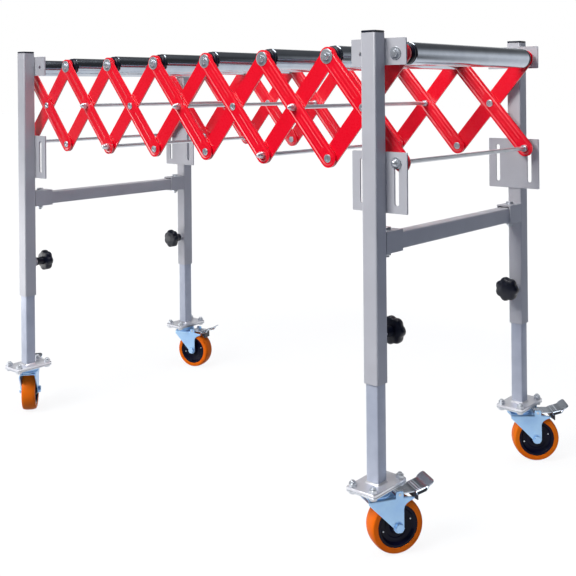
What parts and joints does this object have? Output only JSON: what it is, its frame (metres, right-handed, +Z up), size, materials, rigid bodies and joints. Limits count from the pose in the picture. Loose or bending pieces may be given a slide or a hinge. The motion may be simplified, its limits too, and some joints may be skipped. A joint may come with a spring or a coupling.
{
  "type": "roller conveyor table",
  "caption": "Expandable roller conveyor table: a scissor bed of red bars carries steel rollers between two leg frames with telescoping legs, clamp knobs and braked swivel casters.",
  "frame": {"origin": "middle of the whole part's footprint box, on the floor under the wheels", "axes": "+X along the bed to its right end, +Y across the bed away from the viewer, +Z up"},
  "size_m": [1.2278, 0.6486, 0.888],
  "materials": {
    "leg_paint": "satin grey powder coat",
    "bar_paint": "glossy red paint",
    "zinc": "zinc plated",
    "roller_steel": "galvanised tube",
    "bright_tube": "bright plated tube",
    "fork_zinc": "bluish zinc plate",
    "tyre_orange": "matte orange tread",
    "hub_black": "dark moulded hub",
    "black_plastic": "black moulded plastic"
  },
  "bodies": {
    "right_frame": {"right_legs": "leg_paint", "right_leg_plugs": "black_plastic", "right_crossbar": "leg_paint", "right_axle": "zinc"},
    "left_frame": {"left_legs": "leg_paint", "left_leg_plugs": "black_plastic", "left_crossbar": "leg_paint"},
    "falling_1": {"falling_bars_1": "bar_paint", "pivot_pins_1": "zinc"},
    "rising_1": {"rising_bars_1": "bar_paint"},
    "falling_2": {"falling_bars_2": "bar_paint", "pivot_pins_2": "zinc"},
    "rising_2": {"rising_bars_2": "bar_paint"},
    "falling_3": {"falling_bars_3": "bar_paint", "pivot_pins_3": "zinc"},
    "rising_3": {"rising_bars_3": "bar_paint"},
    "falling_4": {"falling_bars_4": "bar_paint", "pivot_pins_4": "zinc"},
    "rising_4": {"rising_bars_4": "bar_paint"},
    "falling_5": {"falling_bars_5": "bar_paint", "pivot_pins_5": "zinc"},
    "rising_5": {"rising_bars_5": "bar_paint"},
    "falling_6": {"falling_bars_6": "bar_paint", "pivot_pins_6": "zinc"},
    "rising_6": {"rising_bars_6": "bar_paint"},
    "falling_7": {"falling_bars_7": "bar_paint", "pivot_pins_7": "zinc"},
    "rising_7": {"rising_bars_7": "bar_paint"},
    "roller_1": {"roller_1": "roller_steel"},
    "roller_2": {"roller_2": "roller_steel"},
    "roller_3": {"roller_3": "roller_steel"},
    "roller_4": {"roller_4": "roller_steel"},
    "roller_5": {"roller_5": "roller_steel"},
    "roller_6": {"roller_6": "roller_steel"},
    "roller_7": {"roller_7": "roller_steel"},
    "roller_8": {"roller_8": "roller_steel"},
    "inner_leg_near_right": {"inner_leg_near_right": "bright_tube"},
    "knob_near_right": {"knob_near_right": "black_plastic"},
    "fork_near_right": {"fork_near_right": "fork_zinc"},
    "pedal_near_right": {"pedal_near_right": "fork_zinc"},
    "wheel_near_right": {"tyre_near_right": "tyre_orange", "hub_near_right": "hub_black"},
    "inner_leg_far_right": {"inner_leg_far_right": "bright_tube"},
    "knob_far_right": {"knob_far_right": "black_plastic"},
    "fork_far_right": {"fork_far_right": "fork_zinc"},
    "pedal_far_right": {"pedal_far_right": "fork_zinc"},
    "wheel_far_right": {"tyre_far_right": "tyre_orange", "hub_far_right": "hub_black"},
    "inner_leg_near_left": {"inner_leg_near_left": "bright_tube"},
    "knob_near_left": {"knob_near_left": "black_plastic"},
    "fork_near_left": {"fork_near_left": "fork_zinc"},
    "pedal_near_left": {"pedal_near_left": "fork_zinc"},
    "wheel_near_left": {"tyre_near_left": "tyre_orange", "hub_near_left": "hub_black"},
    "inner_leg_far_left": {"inner_leg_far_left": "bright_tube"},
    "knob_far_left": {"knob_far_left": "black_plastic"},
    "fork_far_left": {"fork_far_left": "fork_zinc"},
    "pedal_far_left": {"pedal_far_left": "fork_zinc"},
    "wheel_far_left": {"tyre_far_left": "tyre_orange", "hub_far_left": "hub_black"}
  },
  "joints": [
    {"name": "bed_fold", "type": "hinge", "parent": "right_frame", "child": "rising_7", "pos_m": [0.56, -0.01631, 0.849], "axis": [0, -1, 0], "range_deg": [0, 28.5]},
    {"name": "middle_pivot_7", "type": "hinge", "parent": "rising_7", "child": "falling_7", "pos_m": [0.48, -0.01631, 0.75623], "axis": [0, -1, 0], "range_deg": [-57, 0]},
    {"name": "top_pivot_6", "type": "hinge", "parent": "falling_7", "child": "rising_6", "pos_m": [0.4, -0.01631, 0.849], "axis": [0, -1, 0], "range_deg": [0, 57]},
    {"name": "middle_pivot_6", "type": "hinge", "parent": "rising_6", "child": "falling_6", "pos_m": [0.32, -0.01631, 0.75623], "axis": [0, -1, 0], "range_deg": [-57, 0]},
    {"name": "top_pivot_5", "type": "hinge", "parent": "falling_6", "child": "rising_5", "pos_m": [0.24, -0.01631, 0.849], "axis": [0, -1, 0], "range_deg": [0, 57]},
    {"name": "middle_pivot_5", "type": "hinge", "parent": "rising_5", "child": "falling_5", "pos_m": [0.16, -0.01631, 0.75623], "axis": [0, -1, 0], "range_deg": [-57, 0]},
    {"name": "top_pivot_4", "type": "hinge", "parent": "falling_5", "child": "rising_4", "pos_m": [0.08, -0.01631, 0.849], "axis": [0, -1, 0], "range_deg": [0, 57]},
    {"name": "middle_pivot_4", "type": "hinge", "parent": "rising_4", "child": "falling_4", "pos_m": [0, -0.01631, 0.75623], "axis": [0, -1, 0], "range_deg": [-57, 0]},
    {"name": "top_pivot_3", "type": "hinge", "parent": "falling_4", "child": "rising_3", "pos_m": [-0.08, -0.01631, 0.849], "axis": [0, -1, 0], "range_deg": [0, 57]},
    {"name": "middle_pivot_3", "type": "hinge", "parent": "rising_3", "child": "falling_3", "pos_m": [-0.16, -0.01631, 0.75623], "axis": [0, -1, 0], "range_deg": [-57, 0]},
    {"name": "top_pivot_2", "type": "hinge", "parent": "falling_3", "child": "rising_2", "pos_m": [-0.24, -0.01631, 0.849], "axis": [0, -1, 0], "range_deg": [0, 57]},
    {"name": "middle_pivot_2", "type": "hinge", "parent": "rising_2", "child": "falling_2", "pos_m": [-0.32, -0.01631, 0.75623], "axis": [0, -1, 0], "range_deg": [-57, 0]},
    {"name": "top_pivot_1", "type": "hinge", "parent": "falling_2", "child": "rising_1", "pos_m": [-0.4, -0.01631, 0.849], "axis": [0, -1, 0], "range_deg": [0, 57]},
    {"name": "middle_pivot_1", "type": "hinge", "parent": "rising_1", "child": "falling_1", "pos_m": [-0.48, -0.01631, 0.75623], "axis": [0, -1, 0], "range_deg": [-57, 0]},
    {"name": "left_frame_pivot", "type": "hinge", "parent": "falling_1", "child": "left_frame", "pos_m": [-0.56, -0.01631, 0.849], "axis": [0, -1, 0], "range_deg": [0, 28.5]},
    {"name": "roller_1_spin", "type": "hinge", "parent": "falling_1", "child": "roller_1", "pos_m": [-0.56, -0.01631, 0.849], "axis": [0, 1, 0], "continuous": true},
    {"name": "roller_2_spin", "type": "hinge", "parent": "falling_2", "child": "roller_2", "pos_m": [-0.4, -0.01631, 0.849], "axis": [0, 1, 0], "continuous": true},
    {"name": "roller_3_spin", "type": "hinge", "parent": "falling_3", "child": "roller_3", "pos_m": [-0.24, -0.01631, 0.849], "axis": [0, 1, 0], "continuous": true},
    {"name": "roller_4_spin", "type": "hinge", "parent": "falling_4", "child": "roller_4", "pos_m": [-0.08, -0.01631, 0.849], "axis": [0, 1, 0], "continuous": true},
    {"name": "roller_5_spin", "type": "hinge", "parent": "falling_5", "child": "roller_5", "pos_m": [0.08, -0.01631, 0.849], "axis": [0, 1, 0], "continuous": true},
    {"name": "roller_6_spin", "type": "hinge", "parent": "falling_6", "child": "roller_6", "pos_m": [0.24, -0.01631, 0.849], "axis": [0, 1, 0], "continuous": true},
    {"name": "roller_7_spin", "type": "hinge", "parent": "falling_7", "child": "roller_7", "pos_m": [0.4, -0.01631, 0.849], "axis": [0, 1, 0], "continuous": true},
    {"name": "roller_8_spin", "type": "hinge", "parent": "right_frame", "child": "roller_8", "pos_m": [0.56, -0.01631, 0.849], "axis": [0, 1, 0], "continuous": true},
    {"name": "leg_slide_near_right", "type": "slide", "parent": "right_frame", "child": "inner_leg_near_right", "axis": [0, 0, -1], "range_m": [-0.13, 0.12]},
    {"name": "knob_turn_near_right", "type": "hinge", "parent": "right_frame", "child": "knob_near_right", "pos_m": [0.524, -0.24631, 0.369], "axis": [0, 1, 0], "range_deg": [0, 720]},
    {"name": "caster_swivel_near_right", "type": "hinge", "parent": "inner_leg_near_right", "child": "fork_near_right", "pos_m": [0.524, -0.27631, 0.108], "axis": [0, 0, 1], "continuous": true},
    {"name": "brake_pedal_near_right", "type": "hinge", "parent": "fork_near_right", "child": "pedal_near_right", "pos_m": [0.54151, -0.24717, 0.103], "axis": [-0.8572, 0.515, 0], "range_deg": [0, 8]},
    {"name": "wheel_spin_near_right", "type": "hinge", "parent": "fork_near_right", "child": "wheel_near_right", "pos_m": [0.54048, -0.24888, 0.048], "axis": [-0.8572, 0.515, 0], "continuous": true},
    {"name": "leg_slide_far_right", "type": "slide", "parent": "right_frame", "child": "inner_leg_far_right", "axis": [0, 0, -1], "range_m": [-0.13, 0.12]},
    {"name": "knob_turn_far_right", "type": "hinge", "parent": "right_frame", "child": "knob_far_right", "pos_m": [0.524, 0.21369, 0.369], "axis": [0, -1, 0], "range_deg": [0, 720]},
    {"name": "caster_swivel_far_right", "type": "hinge", "parent": "inner_leg_far_right", "child": "fork_far_right", "pos_m": [0.524, 0.24369, 0.108], "axis": [0, 0, 1], "continuous": true},
    {"name": "brake_pedal_far_right", "type": "hinge", "parent": "fork_far_right", "child": "pedal_far_right", "pos_m": [0.55005, 0.26554, 0.103], "axis": [-0.6428, 0.766, 0], "range_deg": [0, 8]},
    {"name": "wheel_spin_far_right", "type": "hinge", "parent": "fork_far_right", "child": "wheel_far_right", "pos_m": [0.54851, 0.26426, 0.048], "axis": [-0.6428, 0.766, 0], "continuous": true},
    {"name": "leg_slide_near_left", "type": "slide", "parent": "left_frame", "child": "inner_leg_near_left", "axis": [0, 0, -1], "range_m": [-0.13, 0.12]},
    {"name": "knob_turn_near_left", "type": "hinge", "parent": "left_frame", "child": "knob_near_left", "pos_m": [-0.524, -0.24631, 0.369], "axis": [0, 1, 0], "range_deg": [0, 720]},
    {"name": "caster_swivel_near_left", "type": "hinge", "parent": "inner_leg_near_left", "child": "fork_near_left", "pos_m": [-0.524, -0.27631, 0.108], "axis": [0, 0, 1], "continuous": true},
    {"name": "brake_pedal_near_left", "type": "hinge", "parent": "fork_near_left", "child": "pedal_near_left", "pos_m": [-0.55005, -0.25445, 0.103], "axis": [-0.6428, -0.766, 0], "range_deg": [0, 8]},
    {"name": "wheel_spin_near_left", "type": "hinge", "parent": "fork_near_left", "child": "wheel_near_left", "pos_m": [-0.54851, -0.25574, 0.048], "axis": [-0.6428, -0.766, 0], "continuous": true},
    {"name": "leg_slide_far_left", "type": "slide", "parent": "left_frame", "child": "inner_leg_far_left", "axis": [0, 0, -1], "range_m": [-0.13, 0.12]},
    {"name": "knob_turn_far_left", "type": "hinge", "parent": "left_frame", "child": "knob_far_left", "pos_m": [-0.524, 0.21369, 0.369], "axis": [0, -1, 0], "range_deg": [0, 720]},
    {"name": "caster_swivel_far_left", "type": "hinge", "parent": "inner_leg_far_left", "child": "fork_far_left", "pos_m": [-0.524, 0.24369, 0.108], "axis": [0, 0, 1], "continuous": true},
    {"name": "brake_pedal_far_left", "type": "hinge", "parent": "fork_far_left", "child": "pedal_far_left", "pos_m": [-0.49116, 0.25249, 0.103], "axis": [-0.2588, 0.9659, 0], "range_deg": [0, 8]},
    {"name": "wheel_spin_far_left", "type": "hinge", "parent": "fork_far_left", "child": "wheel_far_left", "pos_m": [-0.49309, 0.25197, 0.048], "axis": [-0.2588, 0.9659, 0], "continuous": true}
  ],
  "couplings": [
    {"joint": "middle_pivot_7", "follows": "bed_fold", "ratio": -2},
    {"joint": "top_pivot_6", "follows": "bed_fold", "ratio": 2},
    {"joint": "middle_pivot_6", "follows": "bed_fold", "ratio": -2},
    {"joint": "top_pivot_5", "follows": "bed_fold", "ratio": 2},
    {"joint": "middle_pivot_5", "follows": "bed_fold", "ratio": -2},
    {"joint": "top_pivot_4", "follows": "bed_fold", "ratio": 2},
    {"joint": "middle_pivot_4", "follows": "bed_fold", "ratio": -2},
    {"joint": "top_pivot_3", "follows": "bed_fold", "ratio": 2},
    {"joint": "middle_pivot_3", "follows": "bed_fold", "ratio": -2},
    {"joint": "top_pivot_2", "follows": "bed_fold", "ratio": 2},
    {"joint": "middle_pivot_2", "follows": "bed_fold", "ratio": -2},
    {"joint": "top_pivot_1", "follows": "bed_fold", "ratio": 2},
    {"joint": "middle_pivot_1", "follows": "bed_fold", "ratio": -2},
    {"joint": "left_frame_pivot", "follows": "bed_fold", "ratio": 1}
  ]
}
